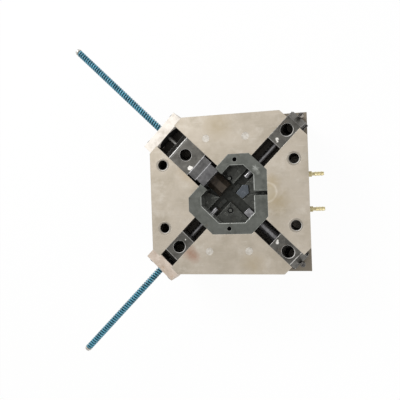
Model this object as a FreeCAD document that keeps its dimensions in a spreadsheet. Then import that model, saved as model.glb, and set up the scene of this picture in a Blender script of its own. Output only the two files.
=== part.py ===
import FreeCAD, Part

import math
import os

import Sketcher

from FreeCAD import Placement, Rotation, Vector

# Moving half of a four-slide injection mould, in millimetres, parting face up.
# The origin is on the machine side of the clamp plate, at the middle of the ejector-rod hole. The four
# slides run out to the corners, so each is drawn in a frame of its own whose +X points to its corner.

doc = FreeCAD.newDocument("mould_base")
sheet = doc.addObject("Spreadsheet::Sheet", "Sizes")

DIMENSIONS = [
    # plate stack
    ("plate_length", 400),
    ("plate_width", 400),
    ("clamp_thick", 30),
    ("spacer_height", 100),
    ("spacer_wide", 68),
    ("support_thick", 40),
    ("core_thick", 100),
    ("edge_break", 1.5),
    # corners of the core plate, measured from the middle along the diagonals
    ("corner_flat", 237),
    ("corner_flat_tl", 221),
    # slide channels
    ("channel_depth", 55),
    ("channel_wide", 42),
    ("channel_wide_tl", 70),
    ("shoulder_wide", 6),
    ("shoulder_high", 12),
    ("slide_play", 0.06),
    # cavity frame: an octagon, its slanted sides given by their distance along each diagonal
    ("frame_deep", 80),
    ("frame_half", 100),
    ("frame_tl", 67),
    ("frame_tr", 111),
    ("frame_br", 112),
    ("frame_bl", 99),
    ("pocket_half_x", 67),
    ("pocket_half_y", 72),
    ("pocket_tl", 45.5),
    ("pocket_tr", 80.5),
    ("pocket_br", 81),
    ("pocket_bl", 67),
    ("nose_gap", 54),
    ("runner_wide", 10),
    ("runner_deep", 42),
    # cavity blocks and the crossed slots between them
    ("sector_depth", 40),
    ("slot_depth", 16),
    ("slot_half_tr", 12),
    ("slot_half_br", 13),
    ("slot_half_bl", 15),
    ("core_root", 24),
    ("core_flare", 36),
    ("step_half", 5),
    ("step_high", 6),
    ("gate_proud", 4),
    ("groove_wide", 4),
    ("groove_deep", 4),
    # eye cores
    ("eye_pin_dia", 8.4),
    ("eye_groove_dia", 14.6),
    ("eye_groove_deep", 9),
    ("eye_reach", 41.5),
    ("eye_head_dia", 13),
    ("eye_head_thick", 5),
    # angle-pin holes and heels
    ("pin_hole_dia", 30),
    ("pin_angle", 20),
    ("heel_run", 18),
    ("heel_drop", 26),
    # slides: front face, hole and end of the top face along the diagonal
    ("tl_front", 109),
    ("tl_hole", 147),
    ("tl_back", 175.5),
    ("tr_front", 170),
    ("tr_hole", 213.6),
    ("tr_back", 241),
    ("br_front", 162),
    ("br_hole", 204.2),
    ("br_back", 230),
    ("bl_front", 147.5),
    ("bl_hole", 182.2),
    ("bl_back", 212),
    # closed slide's front insert, nose and core
    ("insert_thick", 25),
    ("insert_wide", 60),
    ("nose_tip", 58),
    ("nose_wide", 52),
    ("core_tip", 16),
    ("core_wide", 43),
    ("core_high", 30),
    ("core_round", 12),
    # core bars of the open slides
    ("bar_dia_tr", 15),
    ("bar_tip_tr", 60),
    ("bar_dia_bl", 14),
    ("bar_tip_bl", 50),
    ("bar_dia_br", 26),
    ("bar_tip_br", 60),
    ("bar_step_br", 18),
    ("bar_socket", 14),
    # spring brackets, rods and springs
    ("bracket_thick", 24),
    ("bracket_high", 70),
    ("bracket_wide_tl", 116),
    ("bracket_wide_bl", 90),
    ("tongue_tl", 2.5),
    ("tongue_bl", 5),
    ("rod_dia", 10),
    ("rod_drop", 34),
    ("rod_grip", 20),
    ("spring_dia", 18),
    ("spring_bore", 11.2),
    ("spring_end", 577),
    ("washer_thick", 2),
    ("rod_head_dia", 14),
    ("rod_head_thick", 4),
    # guide bushes and return pins
    ("guide_x", 166),
    ("guide_y", 81),
    ("guide_bore", 25),
    ("bush_dia", 35),
    ("bush_collar", 40),
    ("collar_thick", 8),
    ("return_x", 50),
    ("return_y", 142.5),
    ("return_dia", 18),
    ("return_head", 26),
    ("return_head_thick", 8),
    ("spring_pocket", 34),
    ("spring_pocket_deep", 30),
    ("return_spring_dia", 32),
    ("return_spring_bore", 19),
    # ejector box
    ("stop_button_thick", 5),
    ("stop_button_dia", 20),
    ("stop_button_x", 112),
    ("stop_button_y", 135),
    ("ejector_thick", 25),
    ("retainer_thick", 20),
    ("ejector_wide", 260),
    ("ejector_pin_dia", 6),
    ("ejector_head_dia", 11),
    ("ejector_head_thick", 5),
    ("rod_hole_dia", 40),
    ("knockout_thread", 20),
    ("pillar_dia", 40),
    ("pillar_x", 75),
    ("pillar_y", 62),
    ("pillar_gap", 2),
    ("leader_dia", 20),
    ("leader_x", 108),
    ("leader_y", 174),
    ("leader_bush_dia", 30),
    # fasteners
    ("clamp_screw_dia", 14),
    ("clamp_head_dia", 21),
    ("clamp_screw_y", 150),
    ("plate_screw_dia", 10),
    ("plate_head_dia", 16),
    ("plate_screw_x", 110),
    ("plate_screw_y", 68),
    ("stop_screw_dia", 8),
    ("stop_head_dia", 13),
    ("stop_screw_sunk", 15),
    ("rim_screw_dia", 6),
    ("rim_head_dia", 10),
    ("rim_screw_sunk", 55),
    ("fit", 0.1),
    # water and lifting
    ("nipple_y", 44.5),
    ("nipple_drop", 70),
    ("nipple_reach", 37),
    ("nipple_bore", 6),
    ("water_dia", 10),
    ("water_turn", 128),
    ("eye_bolt_dia", 20),
    ("eye_bolt_deep", 36),
    ("eye_bolt_drop", 50),
]

for row, (alias, size) in enumerate(DIMENSIONS, start=1):
    sheet.set(f"A{row}", alias)
    sheet.set(f"B{row}", str(size))
    sheet.setAlias(f"B{row}", alias)
doc.recompute()


class Size:
    """A size worked out from the sheet: its value now, and the expression that keeps it up to date."""

    def __init__(self, value, text):
        self.value = value
        self.text = text

    def __add__(self, other):
        other = as_size(other)
        return Size(self.value + other.value, f"({self.text} + {other.text})")

    def __sub__(self, other):
        other = as_size(other)
        return Size(self.value - other.value, f"({self.text} - {other.text})")

    def __mul__(self, other):
        other = as_size(other)
        return Size(self.value * other.value, f"({self.text} * {other.text})")

    def __truediv__(self, other):
        other = as_size(other)
        return Size(self.value / other.value, f"({self.text} / {other.text})")

    def __radd__(self, other):
        return as_size(other) + self

    def __rsub__(self, other):
        return as_size(other) - self

    def __rmul__(self, other):
        return as_size(other) * self

    def __neg__(self):
        return Size(-self.value, f"(0 - {self.text})")


def as_size(number):
    return number if isinstance(number, Size) else Size(float(number), f"({float(number):.9g})")


class Sheet:
    """Named sizes, read from the spreadsheet's own cells."""

    def __getattr__(self, alias):
        return Size(float(sheet.get(alias)), f"Sizes.{alias}")


S = Sheet()
ROOT_TWO = math.sqrt(2)
UP = Vector(0, 0, 1)
TURN = {"tl": 135, "tr": 45, "br": -45, "bl": -135}
nodes = {}

# levels of the plate stack
Z_SPACER = S.clamp_thick
Z_SUPPORT = Z_SPACER + S.spacer_height
Z_CORE = Z_SUPPORT + S.support_thick
Z_FACE = Z_CORE + S.core_thick
Z_CHANNEL = Z_FACE - S.channel_depth
Z_FRAME = Z_FACE - S.frame_deep
Z_SECTOR = Z_FACE - S.sector_depth
Z_SLOT = Z_SECTOR - S.slot_depth
Z_ROD = Z_FACE - S.rod_drop
Z_EJECTOR = Z_SPACER + S.stop_button_thick
Z_RETAINER = Z_EJECTOR + S.ejector_thick
Z_EJECTOR_TOP = Z_RETAINER + S.retainer_thick


# ---- helpers ---------------------------------------------------------------------------------------


def bind(obj, prop, size):
    obj.setExpression(prop, as_size(size).text)


def new_body(name, turn=0):
    body = doc.addObject("PartDesign::Body", name)
    body.Placement = Placement(Vector(), Rotation(UP, turn))
    return body


def plane(body, role):
    return next(f for f in body.Origin.OriginFeatures if f.Role == role)


def new_sketch(body, name, role="XY_Plane", level=0, rotation=None, shift=None):
    """A sketch on one of the body's own planes, moved along the plane's normal to level."""
    sketch = body.newObject("Sketcher::SketchObject", name)
    sketch.AttachmentSupport = [(plane(body, role), "")]
    sketch.MapMode = "FlatFace"
    x, y = shift or (0, 0)
    base = [as_size(x), as_size(y), as_size(level)]
    sketch.AttachmentOffset = Placement(Vector(*[b.value for b in base]), rotation or Rotation())
    for axis, size in zip("xyz", base):
        bind(sketch, f"AttachmentOffset.Base.{axis}", size)
    return sketch


def add_outline(sketch, points):
    """A closed outline of straight sides, each corner placed from the sketch's origin."""
    corners = [(as_size(x), as_size(y)) for x, y in points]
    vectors = [Vector(x.value, y.value, 0) for x, y in corners]
    first = sketch.GeometryCount
    for start, end in zip(vectors, vectors[1:] + vectors[:1]):
        sketch.addGeometry(Part.LineSegment(start, end))
    count = len(vectors)
    for i in range(count):
        sketch.addConstraint(
            Sketcher.Constraint("Coincident", first + i, 2, first + (i + 1) % count, 1)
        )
    for i, corner in enumerate(corners):
        for kind, size in zip(("DistanceX", "DistanceY"), corner):
            constraint = sketch.addConstraint(
                Sketcher.Constraint(kind, -1, 1, first + i, 1, size.value)
            )
            sketch.setExpression(f"Constraints[{constraint}]", size.text)


def add_circle(sketch, x, y, diameter):
    x, y, diameter = as_size(x), as_size(y), as_size(diameter)
    centre = Vector(x.value, y.value, 0)
    circle = sketch.addGeometry(Part.Circle(centre, Vector(0, 0, 1), diameter.value / 2))
    for kind, size in (("DistanceX", x), ("DistanceY", y)):
        constraint = sketch.addConstraint(Sketcher.Constraint(kind, -1, 1, circle, 3, size.value))
        sketch.setExpression(f"Constraints[{constraint}]", size.text)
    constraint = sketch.addConstraint(Sketcher.Constraint("Diameter", circle, diameter.value))
    sketch.setExpression(f"Constraints[{constraint}]", diameter.text)


def pad(body, sketch, length, reverse=False):
    feature = body.newObject("PartDesign::Pad", sketch.Name + "_pad")
    feature.Profile = sketch
    feature.Length = as_size(length).value
    bind(feature, "Length", length)
    feature.Reversed = reverse
    sketch.Visibility = False
    return feature


def pocket(body, sketch, length=None, reverse=False, both_ways=False):
    """Cut against the sketch's normal; with no length, right through."""
    feature = body.newObject("PartDesign::Pocket", sketch.Name + "_pocket")
    feature.Profile = sketch
    if length is None:
        feature.Type = "ThroughAll"
    else:
        feature.Length = as_size(length).value
        bind(feature, "Length", length)
    feature.Midplane = both_ways
    feature.Reversed = reverse
    sketch.Visibility = False
    return feature


def rectangle(x0, x1, y0, y1):
    return [(x0, y0), (x1, y0), (x1, y1), (x0, y1)]


def on_diagonals(u, v):
    """The point u towards the upper right corner and v towards the upper left one."""
    u, v = as_size(u), as_size(v)
    return ((u - v) / ROOT_TWO, (u + v) / ROOT_TWO)


def octagon(half_x, half_y, tl, tr, br, bl):
    """An upright rectangle whose corners are cut across the diagonals at the given distances."""
    return [
        (tr * ROOT_TWO - half_y, half_y),
        (half_x, tr * ROOT_TWO - half_x),
        (half_x, half_x - br * ROOT_TWO),
        (br * ROOT_TWO - half_y, -half_y),
        (half_y - bl * ROOT_TWO, -half_y),
        (-half_x, half_x - bl * ROOT_TWO),
        (-half_x, tl * ROOT_TWO - half_x),
        (half_y - tl * ROOT_TWO, half_y),
    ]


def place(obj, x, y, z, rotation=None):
    base = [as_size(x), as_size(y), as_size(z)]
    obj.Placement = Placement(Vector(*[b.value for b in base]), rotation or Rotation())
    for axis, size in zip("xyz", base):
        bind(obj, f"Placement.Base.{axis}", size)


ALONG = {
    "z": Rotation(),
    "x": Rotation(Vector(0, 1, 0), 90),
    "y": Rotation(Vector(1, 0, 0), -90),
}


def cylinder(name, diameter, length, x, y, z, along="z"):
    shape = doc.addObject("Part::Cylinder", name)
    bind(shape, "Radius", as_size(diameter) / 2)
    bind(shape, "Height", length)
    place(shape, x, y, z, ALONG[along])
    return shape


def cone(name, diameter_1, diameter_2, length, x, y, z, along="z"):
    shape = doc.addObject("Part::Cone", name)
    bind(shape, "Radius1", as_size(diameter_1) / 2)
    bind(shape, "Radius2", as_size(diameter_2) / 2)
    bind(shape, "Height", length)
    place(shape, x, y, z, ALONG[along])
    return shape


def hexagon(name, radius, length, x, y, z, along="z"):
    shape = doc.addObject("Part::Prism", name)
    shape.Polygon = 6
    bind(shape, "Circumradius", radius)
    bind(shape, "Height", length)
    place(shape, x, y, z, ALONG[along])
    return shape


def block(name, x, y, z, length, width, height):
    shape = doc.addObject("Part::Box", name)
    bind(shape, "Length", length)
    bind(shape, "Width", width)
    bind(shape, "Height", height)
    place(shape, x, y, z)
    return shape


def fuse(name, shapes):
    joined = doc.addObject("Part::MultiFuse", name)
    joined.Shapes = shapes
    joined.Refine = True
    return joined


def cut(name, base, tool):
    result = doc.addObject("Part::Cut", name)
    result.Base = base
    result.Tool = tool
    return result


def group(name, shapes, turn=0):
    """Separate solids that make one node."""
    gathered = doc.addObject("Part::Compound", name)
    gathered.Links = shapes
    gathered.Placement = Placement(Vector(), Rotation(UP, turn))
    return gathered


def node(name, obj):
    obj.Label = name
    nodes[name] = obj
    return obj


def cap_screw(name, diameter, head, length, x, y, z, along="z", way=1):
    """A socket-head cap screw; z (or x, y) is the seat of its head, and the head stands on the +way side."""
    diameter, head, length = as_size(diameter), as_size(head), as_size(length)
    axis = {"x": 0, "y": 1, "z": 2}[along]
    seat = [as_size(x), as_size(y), as_size(z)]

    def at(offset):
        spot = list(seat)
        spot[axis] = spot[axis] + offset
        return spot

    head_start = as_size(0) if way > 0 else -diameter
    shank_start = -length if way > 0 else as_size(0)
    deep = diameter / 2
    socket_start = diameter - deep if way > 0 else -diameter
    head_shape = cylinder(name + "_head", head, diameter, *at(head_start), along)
    shank = cylinder(name + "_shank", diameter, length, *at(shank_start), along)
    socket = hexagon(name + "_socket", diameter * 0.46, deep, *at(socket_start), along)
    return cut(name, fuse(name + "_solid", [head_shape, shank]), socket)


# ---- where the small holes are ----------------------------------------------------------------------

four = [(1, 1), (1, -1), (-1, 1), (-1, -1)]
guide_spots = [(S.guide_x * i, S.guide_y * j) for i, j in four]
return_spots = [(S.return_x * i, S.return_y * j) for i, j in four]
pillar_spots = [(S.pillar_x * i, S.pillar_y * j) for i, j in four]
leader_spots = [(S.leader_x * i, S.leader_y * j) for i, j in four]
plate_screw_spots = [(S.plate_screw_x * i, S.plate_screw_y * j) for i, j in four]
spacer_mid = (S.plate_length - S.spacer_wide) / 2
clamp_screw_spots = [(spacer_mid * i, S.clamp_screw_y * j) for i in (1, -1) for j in (1, 0, -1)]
stop_button_spots = [(S.stop_button_x * i, S.stop_button_y * j) for i in (1, -1) for j in (1, 0, -1)]
ejector_spots = [
    on_diagonals(33, 17),
    on_diagonals(58.7, 23.3),
    on_diagonals(62, -18.5),
    on_diagonals(25.5, -56.6),
    on_diagonals(-21.5, -57),
    on_diagonals(-43, -28),
    on_diagonals(-37.5, 26.2),
    on_diagonals(-55, 27),
]
eye_spots = [(as_size(0), S.eye_reach), (as_size(0), -S.eye_reach)]
rim_spots = [
    (as_size(21), (S.pocket_half_y + S.frame_half) / 2),
    (as_size(2), -(S.pocket_half_y + S.frame_half) / 2),
]
runner_pin_x = (S.pocket_half_x + S.frame_half) / 2


def drill(body, name, level, spots, diameter, depth=None, reverse=False):
    sketch = new_sketch(body, name, level=level)
    for x, y in spots:
        add_circle(sketch, x, y, diameter)
    return pocket(body, sketch, depth, reverse)


# ---- plates -----------------------------------------------------------------------------------------

half_length = S.plate_length / 2
half_width = S.plate_width / 2


def plate_blank(name, half_x, half_y, level, thick):
    body = new_body(name)
    sketch = new_sketch(body, name + "_outline", level=level)
    add_outline(sketch, rectangle(-half_x, half_x, -half_y, half_y))
    pad(body, sketch, thick)
    return body


clamp = plate_blank("bottom_clamp_plate", half_length, half_width, 0, S.clamp_thick)
drill(clamp, "clamp_rod_hole", Z_SPACER, [(0, 0)], S.rod_hole_dia)
drill(clamp, "clamp_screw_holes", Z_SPACER, clamp_screw_spots, S.clamp_screw_dia + 2 * S.fit)
drill(
    clamp, "clamp_head_holes", 0, clamp_screw_spots, S.clamp_head_dia + 2, S.clamp_screw_dia + 1, True
)
drill(clamp, "clamp_leader_holes", Z_SPACER, leader_spots, S.leader_dia, S.clamp_thick / 2)
node("bottom_clamp_plate", clamp)

for side, sign in (("left", -1), ("right", 1)):
    spacer = new_body(f"spacer_block_{side}")
    inner = half_length - S.spacer_wide
    sketch = new_sketch(spacer, f"spacer_{side}_outline", level=Z_SPACER)
    add_outline(sketch, rectangle(sign * inner, sign * half_length, -half_width, half_width))
    pad(spacer, sketch, S.spacer_height)
    spots = [spot for spot in clamp_screw_spots if spot[0].value * sign > 0]
    drill(spacer, f"spacer_{side}_holes", Z_SUPPORT, spots, S.clamp_screw_dia + 2)
    # clamp slot for the press's toe clamps, along the outer foot of the block
    slot = new_sketch(spacer, f"spacer_{side}_slot", level=Z_SPACER)
    slot_in = half_length - S.clamp_thick / 2
    add_outline(slot, rectangle(sign * slot_in, sign * half_length, -half_width, half_width))
    pocket(spacer, slot, S.clamp_thick * 0.7, True)
    node(f"spacer_block_{side}", spacer)

support = plate_blank("support_plate", half_length, half_width, Z_SUPPORT, S.support_thick)
drill(support, "support_screw_holes", Z_CORE, clamp_screw_spots, S.clamp_screw_dia + 2)
drill(support, "support_return_holes", Z_CORE, return_spots, S.return_dia + 2 * S.fit)
drill(
    support, "support_spring_pockets", Z_SUPPORT, return_spots, S.spring_pocket, S.spring_pocket_deep, True
)
drill(support, "support_ejector_holes", Z_CORE, ejector_spots, S.ejector_pin_dia + 4 * S.fit)
drill(support, "support_runner_hole", Z_CORE, [(runner_pin_x, 0)], S.ejector_pin_dia + 4 * S.fit)
drill(support, "support_leader_holes", Z_SUPPORT, leader_spots, S.leader_dia, S.support_thick / 2, True)
node("support_plate", support)

# ---- core plate: four diagonal channels with undercut floors, and the octagonal pocket --------------

core = new_body("core_plate")
blank = new_sketch(core, "core_outline", level=Z_CORE)
add_outline(blank, rectangle(-half_length, half_length, -half_width, half_width))
pad(core, blank, S.core_thick)
FAR = S.plate_length

CHANNEL = {
    "tl": S.channel_wide_tl,
    "tr": S.channel_wide,
    "br": S.channel_wide,
    "bl": S.channel_wide,
}
FLAT = {"tl": S.corner_flat_tl, "tr": S.corner_flat, "br": S.corner_flat, "bl": S.corner_flat}

for corner, turn in TURN.items():
    spin = Rotation(UP, turn)
    # left corners are cut right through; right corners are milled down to a ledge at the channel floor
    trim = new_sketch(core, f"core_corner_{corner}", level=Z_FACE, rotation=spin)
    add_outline(trim, rectangle(FLAT[corner], FAR, -half_width, half_width))
    pocket(core, trim, S.channel_depth if corner in ("tr", "br") else S.core_thick)

outer = octagon(S.frame_half, S.frame_half, S.frame_tl, S.frame_tr, S.frame_br, S.frame_bl)
inner = octagon(
    S.pocket_half_x, S.pocket_half_y, S.pocket_tl, S.pocket_tr, S.pocket_br, S.pocket_bl
)
seat = new_sketch(core, "core_frame_seat", level=Z_FACE)
add_outline(seat, outer)
pocket(core, seat, S.frame_deep)

for corner, turn in TURN.items():
    spin = Rotation(UP, turn)
    half = CHANNEL[corner] / 2
    start = S.frame_tl / 2
    channel = new_sketch(core, f"core_channel_{corner}", level=Z_FACE, rotation=spin)
    add_outline(channel, rectangle(start, FAR, -half, half))
    pocket(core, channel, S.channel_depth)
    under = half + S.shoulder_wide
    undercut = new_sketch(
        core, f"core_undercut_{corner}", level=Z_CHANNEL + S.shoulder_high, rotation=spin
    )
    add_outline(undercut, rectangle(start, FAR, -under, under))
    pocket(core, undercut, S.shoulder_high)

drill(core, "core_guide_bores", Z_FACE, guide_spots, S.bush_dia)
drill(core, "core_guide_collars", Z_CORE, guide_spots, S.bush_collar, S.collar_thick, True)
drill(core, "core_return_holes", Z_FACE, return_spots, S.return_dia + 2 * S.fit)
drill(core, "core_ejector_holes", Z_FRAME, ejector_spots, S.ejector_pin_dia + 4 * S.fit)
drill(core, "core_runner_hole", Z_FRAME, [(runner_pin_x, 0)], S.ejector_pin_dia + 4 * S.fit)
clamp_tap = S.clamp_screw_dia * 1.6
drill(core, "core_clamp_taps", Z_CORE, clamp_screw_spots, S.clamp_screw_dia, clamp_tap, True)
rim_tap = S.rim_screw_dia * 2
drill(core, "core_rim_taps", Z_FRAME, rim_spots, S.rim_screw_dia, rim_tap)


def cross_drill(body, name, side, y, z, diameter, depth):
    """A hole from the +X, -X or -Y side of a body, square to that side."""
    if side in ("+x", "-x"):
        level = half_length if side == "+x" else -half_length
        sketch = new_sketch(body, name, "YZ_Plane", level=level)
        add_circle(sketch, y, z, diameter)
        return pocket(body, sketch, depth, reverse=(side == "-x"))
    sketch = new_sketch(body, name, "XZ_Plane", level=half_width)
    add_circle(sketch, y, z, diameter)
    return pocket(body, sketch, depth)


Z_WATER = Z_FACE - S.nipple_drop
water_run = half_length - S.water_turn
for tag, sign in (("upper", 1), ("lower", -1)):
    cross_drill(core, f"core_water_{tag}", "+x", sign * S.nipple_y, Z_WATER, S.water_dia, water_run)
water_turn_run = half_width + S.nipple_y
cross_drill(core, "core_water_turn", "-y", S.water_turn, Z_WATER, S.water_dia, water_turn_run)
Z_EYE_BOLT = Z_FACE - S.eye_bolt_drop
cross_drill(core, "core_eye_bolt", "-x", 0, Z_EYE_BOLT, S.eye_bolt_dia, S.eye_bolt_deep)

BRACKET_WIDE = {"tl": S.bracket_wide_tl, "bl": S.bracket_wide_bl}
TONGUE = {"tl": S.tongue_tl, "bl": S.tongue_bl}
bracket_screw_y = {
    "tl": S.bracket_wide_tl / 2 - S.plate_head_dia * 0.8,
    "bl": S.bracket_wide_bl / 2 - S.plate_head_dia * 0.75,
}
Z_BRACKET = Z_FACE - S.bracket_high
Z_BRACKET_SCREW = Z_ROD
tap_deep = S.plate_screw_dia * 2
for corner in ("tl", "bl"):
    turn = math.radians(TURN[corner])
    spin = Rotation(UP, TURN[corner]) * Rotation(Vector(0, 1, 0), 90)
    start = FLAT[corner] - tap_deep
    shift = (start * math.cos(turn), start * math.sin(turn))
    taps = new_sketch(core, f"core_bracket_taps_{corner}", "XY_Plane", Z_BRACKET_SCREW, spin, shift)
    for sign in (1, -1):
        add_circle(taps, 0, bracket_screw_y[corner] * sign, S.plate_screw_dia)
    pocket(core, taps, tap_deep * 2, reverse=True)
STOP_X = {
    "tr": S.tr_back + S.heel_run + S.stop_screw_dia / 2 + 0.5,
    "br": S.br_back + S.heel_run + S.stop_screw_dia / 2 + 0.5,
}
for corner in ("tr", "br"):
    spin = Rotation(UP, TURN[corner])
    tap = new_sketch(core, f"core_stop_tap_{corner}", level=Z_CHANNEL, rotation=spin)
    add_circle(tap, STOP_X[corner], 0, S.stop_screw_dia)
    pocket(core, tap, S.stop_screw_dia * 2)
node("core_plate", core)

# ---- cavity frame, base, four blocks and gate insert -------------------------------------------------

frame = new_body("cavity_frame")
ring = new_sketch(frame, "frame_outline", level=Z_FRAME)
add_outline(ring, outer)
pad(frame, ring, S.frame_deep)
well = new_sketch(frame, "frame_well", level=Z_FACE)
add_outline(well, inner)
pocket(frame, well, S.frame_deep)
gap = new_sketch(frame, "frame_nose_gap", level=Z_FACE, rotation=Rotation(UP, TURN["tl"]))
add_outline(gap, rectangle(S.pocket_tl / 2, FAR, -S.nose_gap / 2, S.nose_gap / 2))
pocket(frame, gap, S.channel_depth)
BAR_DIA = {"tr": S.bar_dia_tr, "br": S.bar_dia_br, "bl": S.bar_dia_bl}
for corner, dia in BAR_DIA.items():
    spin = Rotation(UP, TURN[corner]) * Rotation(Vector(0, 1, 0), 90)
    window = new_sketch(frame, f"frame_window_{corner}", level=Z_SECTOR, rotation=spin)
    add_circle(window, 0, 0, dia + 4 * S.slide_play)
    pocket(frame, window, FAR, reverse=True)
notch = new_sketch(frame, "frame_runner_notch", level=Z_FACE)
add_outline(notch, rectangle(0, FAR, -S.runner_wide / 2, S.runner_wide / 2))
pocket(frame, notch, S.runner_deep)
drill(frame, "frame_rim_heads", Z_FACE, rim_spots, S.rim_head_dia + 1, S.rim_screw_sunk)
drill(frame, "frame_rim_holes", Z_FACE, rim_spots, S.rim_screw_dia + 0.6)
drill(frame, "frame_runner_pin_hole", Z_FACE, [(runner_pin_x, 0)], S.ejector_pin_dia + 2 * S.fit)
node("cavity_frame", frame)

base = new_body("cavity_base")
floor = new_sketch(base, "base_outline", level=Z_FRAME)
add_outline(floor, inner)
pad(base, floor, Z_SLOT - Z_FRAME)
for corner, reach in (("tr", (10, 34)), ("bl", (18, 45))):
    step = new_sketch(base, f"base_step_{corner}", level=Z_SLOT, rotation=Rotation(UP, TURN[corner]))
    add_outline(step, rectangle(reach[0], reach[1], -S.step_half, S.step_half))
    pad(base, step, S.step_high)
drill(base, "base_ejector_holes", Z_SLOT, ejector_spots, S.ejector_pin_dia + 2 * S.fit)
drill(base, "base_eye_holes", Z_SLOT, eye_spots, S.eye_pin_dia)
drill(base, "base_eye_heads", Z_FRAME, eye_spots, S.eye_head_dia, S.eye_head_thick, True)
node("cavity_base", base)

gate = [(17, 2.6), (32.5, -11.5), (49.5, 1.5), (48, 22), (34.8, 23.2)]
top_corner, right_top, right_bottom, bottom_right, bottom_left, left_bottom, left_top, top_left = inner
sectors = {
    "top": [
        on_diagonals(S.core_root, S.slot_half_tr),
        on_diagonals(S.pocket_tr, S.slot_half_tr),
        top_corner,
        top_left,
        on_diagonals(S.core_flare, S.pocket_tl),
    ],
    "right": [
        on_diagonals(S.slot_half_br, -S.slot_half_tr),
        on_diagonals(S.slot_half_br, -S.pocket_br),
        right_bottom,
        right_top,
        on_diagonals(S.pocket_tr, -S.slot_half_tr),
    ],
    "bottom": [
        on_diagonals(-S.slot_half_br, -S.slot_half_bl),
        on_diagonals(-S.pocket_bl, -S.slot_half_bl),
        bottom_left,
        bottom_right,
        on_diagonals(-S.slot_half_br, -S.pocket_br),
    ],
    "left": [
        on_diagonals(-S.core_root, S.slot_half_bl),
        on_diagonals(-S.core_flare, S.pocket_tl),
        left_top,
        left_bottom,
        on_diagonals(-S.pocket_bl, S.slot_half_bl),
    ],
}
spots_in = {"top": (0, 1), "right": (2, 3), "bottom": (4, 5), "left": (6, 7)}
for name, points in sectors.items():
    sector = new_body(f"core_block_{name}")
    sketch = new_sketch(sector, f"sector_{name}_outline", level=Z_SLOT)
    add_outline(sketch, points)
    pad(sector, sketch, S.slot_depth)
    spots = [ejector_spots[i] for i in spots_in[name]]
    drill(sector, f"sector_{name}_ejectors", Z_SECTOR, spots, S.ejector_pin_dia + 2 * S.fit)
    if name in ("top", "bottom"):
        eye = eye_spots[0] if name == "top" else eye_spots[1]
        drill(sector, f"sector_{name}_eye", Z_SECTOR, [eye], S.eye_groove_dia, S.eye_groove_deep)
        drill(sector, f"sector_{name}_eye_hole", Z_SECTOR, [eye], S.eye_pin_dia)
    if name == "right":
        cup = new_sketch(sector, "sector_gate_cup", level=Z_SECTOR)
        add_outline(cup, gate)
        pocket(sector, cup)
        wide = S.groove_wide
        runner = new_sketch(sector, "sector_runner_in", level=Z_SECTOR)
        add_outline(runner, rectangle(49, FAR, -wide / 2, wide / 2))
        pocket(sector, runner, S.groove_deep)
        branch = new_sketch(sector, "sector_runner_round", level=Z_SECTOR)
        add_outline(
            branch,
            [
                (32.5, -11.5),
                (32.5, -11.5 - wide),
                (49.5 + wide, 1.5 - wide / 2),
                (48 + wide, 22),
                (48, 22),
                (49.5, 1.5),
            ],
        )
        pocket(sector, branch, S.groove_deep)
    node(f"core_block_{name}", sector)

gate_insert = new_body("gate_insert")
sketch = new_sketch(gate_insert, "gate_outline", level=Z_SLOT)
add_outline(sketch, gate)
pad(gate_insert, sketch, S.slot_depth + S.gate_proud)
node("gate_insert", gate_insert)

eye_pins = []
for i, (x, y) in enumerate(eye_spots):
    head = cylinder(f"eye_head_{i}", S.eye_head_dia, S.eye_head_thick, x, y, Z_FRAME)
    stem = cylinder(f"eye_stem_{i}", S.eye_pin_dia, Z_SECTOR - Z_FRAME, x, y, Z_FRAME)
    eye_pins.append(fuse(f"eye_pin_{i}", [head, stem]))
node("eye_core_pins", group("eye_core_pins", eye_pins))

# ---- bushes, screws and small parts of the fixed body ------------------------------------------------

bushes = []
for i, (x, y) in enumerate(guide_spots):
    sleeve = cylinder(f"bush_sleeve_{i}", S.bush_dia, S.core_thick, x, y, Z_CORE)
    collar = cylinder(f"bush_collar_{i}", S.bush_collar, S.collar_thick, x, y, Z_CORE)
    bore = cylinder(f"bush_bore_{i}", S.guide_bore, S.core_thick, x, y, Z_CORE)
    lead = S.edge_break
    mouth = cone(f"bush_mouth_{i}", S.guide_bore, S.guide_bore + 2 * lead, lead, x, y, Z_FACE - lead)
    bushes.append(
        cut(f"bush_{i}", fuse(f"bush_body_{i}", [sleeve, collar]), fuse(f"bush_hole_{i}", [bore, mouth]))
    )
node("guide_bushes", group("guide_bushes", bushes))

clamp_length = Z_CORE - S.clamp_screw_dia + S.clamp_screw_dia * 1.5
clamp_screws = []
for i, (x, y) in enumerate(clamp_screw_spots):
    seat_z = S.clamp_screw_dia + 1
    clamp_screws.append(
        cap_screw(
            f"clamp_screw_{i}", S.clamp_screw_dia, S.clamp_head_dia, clamp_length, x, y, seat_z, "z", -1
        )
    )
node("clamp_screws", group("clamp_screws", clamp_screws))

rim_screws = []
for i, (x, y) in enumerate(rim_spots):
    length = Z_FACE - S.rim_screw_sunk - Z_FRAME + rim_tap - 2
    seat_z = Z_FACE - S.rim_screw_sunk
    rim_screws.append(
        cap_screw(f"rim_screw_{i}", S.rim_screw_dia, S.rim_head_dia, length, x, y, seat_z)
    )
node("frame_screws", group("frame_screws", rim_screws))

stop_screws = []
for corner in ("tr", "br"):
    seat_z = Z_FACE - S.stop_screw_sunk - S.stop_screw_dia
    length = seat_z - Z_CHANNEL + S.stop_screw_dia * 1.8
    screw = cap_screw(
        f"stop_screw_{corner}", S.stop_screw_dia, S.stop_head_dia, length, STOP_X[corner], 0, seat_z
    )
    stop_screws.append(group(f"stop_screw_turned_{corner}", [screw], TURN[corner]))
node("slide_stop_screws", group("slide_stop_screws", stop_screws))

pillars = []
for i, (x, y) in enumerate(pillar_spots):
    pillars.append(cylinder(f"pillar_{i}", S.pillar_dia, S.spacer_height, x, y, Z_SPACER))
node("support_pillars", group("support_pillars", pillars))

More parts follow.
